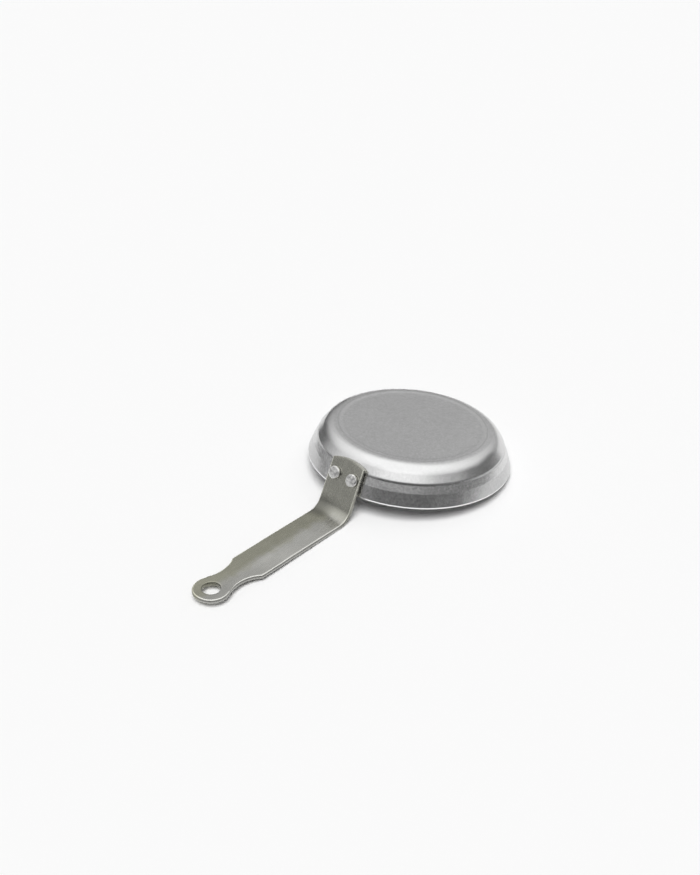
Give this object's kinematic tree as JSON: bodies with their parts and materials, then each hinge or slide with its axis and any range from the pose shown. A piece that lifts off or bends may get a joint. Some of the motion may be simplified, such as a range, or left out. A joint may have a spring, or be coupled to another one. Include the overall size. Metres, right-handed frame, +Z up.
{
  "type": "blini pan",
  "caption": "Small round pan of pressed steel with a flared brim and a strip handle riveted to it that ends in a hanging eye, lying mouth down; it fries small pancakes on a hob.",
  "frame": {"origin": "middle of the bounding box on the floor that the rim and the bend of the handle rest on", "axes": "+X runs from the eye of the handle towards the pan, +Y runs to the left of that way, and +Z is up, with the pan lying mouth down"},
  "size_m": [0.233, 0.1202, 0.0333],
  "materials": {
    "pan_steel": "bare pressed steel with a fine satin grain",
    "handle_steel": "bare rolled strip with a greenish grey skin and bright worn edges",
    "rivet_steel": "pale mottled steel"
  },
  "bodies": {
    "root": {"pan_body": "pan_steel", "handle": "handle_steel", "rivet_left": "rivet_steel", "rivet_right": "rivet_steel"}
  },
  "joints": []
}
